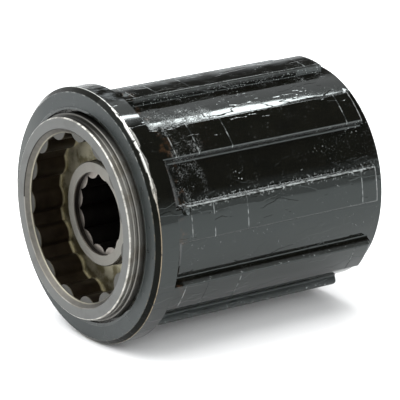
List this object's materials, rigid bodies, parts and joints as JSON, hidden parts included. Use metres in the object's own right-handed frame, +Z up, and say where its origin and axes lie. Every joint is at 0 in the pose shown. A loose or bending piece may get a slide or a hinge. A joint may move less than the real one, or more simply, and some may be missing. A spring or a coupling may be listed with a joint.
{
  "type": "cassette freehub body",
  "caption": "Ratcheting bicycle freehub body with a splined sprocket driver, a lobed hub-side socket and a hollow fixing bolt.",
  "frame": {"origin": "on the freehub's axis, in the plane of the driver flange's hub-side face", "axes": "+Y along the freehub axis, from the hub side towards the lockring end; +Z up; +X completes the frame"},
  "size_m": [0.0372, 0.0432, 0.0372],
  "materials": {
    "black_enamel": "gloss black coating on steel",
    "bare_steel": "turned, lightly oiled",
    "hard_steel": "ground",
    "ball_steel": "polished",
    "bolt_steel": "turned, lightly oiled",
    "plated_steel": "zinc plated",
    "spring_steel": "blued",
    "seal_rubber": "matt"
  },
  "bodies": {
    "hub_side_core": {"inner_body": "bare_steel", "axle_bearing_cup": "hard_steel", "cup_dust_cap": "plated_steel", "axle_seal_lip": "seal_rubber", "outboard_seal": "seal_rubber", "shim_1": "plated_steel", "shim_2": "plated_steel", "shim_3": "plated_steel", "pawl_spring_1": "spring_steel", "pawl_spring_2": "spring_steel", "pawl_spring_3": "spring_steel"},
    "driver": {"driver_body": "black_enamel", "inboard_seal_case": "plated_steel", "inboard_seal_lip": "seal_rubber"},
    "inboard_ball_row": {"inboard_balls": "ball_steel"},
    "outboard_ball_row": {"outboard_balls": "ball_steel"},
    "pawl_1": {"pawl_1": "hard_steel"},
    "pawl_2": {"pawl_2": "hard_steel"},
    "pawl_3": {"pawl_3": "hard_steel"},
    "bolt": {"fixing_bolt": "bolt_steel", "bolt_washer": "plated_steel"}
  },
  "joints": [
    {"name": "driver_spin", "type": "hinge", "parent": "hub_side_core", "child": "driver", "pos_m": [0, 0.0205, 0], "axis": [0, 1, 0], "continuous": true},
    {"name": "inboard_balls_roll", "type": "hinge", "parent": "hub_side_core", "child": "inboard_ball_row", "pos_m": [0, 0.007, 0], "axis": [0, 1, 0], "continuous": true},
    {"name": "outboard_balls_roll", "type": "hinge", "parent": "hub_side_core", "child": "outboard_ball_row", "pos_m": [0, 0.0305, 0], "axis": [0, 1, 0], "continuous": true},
    {"name": "pawl_1_lift", "type": "hinge", "parent": "hub_side_core", "child": "pawl_1", "pos_m": [0.00984, 0.0142, 0.00545], "axis": [0, -1, 0], "range_deg": [0, 10], "stiffness_Nm_per_rad": 0.002, "springref_deg": 10},
    {"name": "pawl_2_lift", "type": "hinge", "parent": "hub_side_core", "child": "pawl_2", "pos_m": [-0.00964, 0.0142, 0.0058], "axis": [0, -1, 0], "range_deg": [0, 10], "stiffness_Nm_per_rad": 0.002, "springref_deg": 10},
    {"name": "pawl_3_lift", "type": "hinge", "parent": "hub_side_core", "child": "pawl_3", "pos_m": [-0.00021, 0.0142, -0.01125], "axis": [0, -1, 0], "range_deg": [0, 10], "stiffness_Nm_per_rad": 0.002, "springref_deg": 10},
    {"name": "bolt_travel", "type": "slide", "parent": "hub_side_core", "child": "bolt", "axis": [0, -1, 0], "range_m": [0, 0.0088]}
  ],
  "couplings": [
    {"joint": "inboard_balls_roll", "follows": "driver_spin", "ratio": 0.5613},
    {"joint": "outboard_balls_roll", "follows": "driver_spin", "ratio": 0.5613},
    {"joint": "pawl_2_lift", "follows": "pawl_1_lift", "ratio": 1},
    {"joint": "pawl_3_lift", "follows": "pawl_1_lift", "ratio": 1}
  ]
}
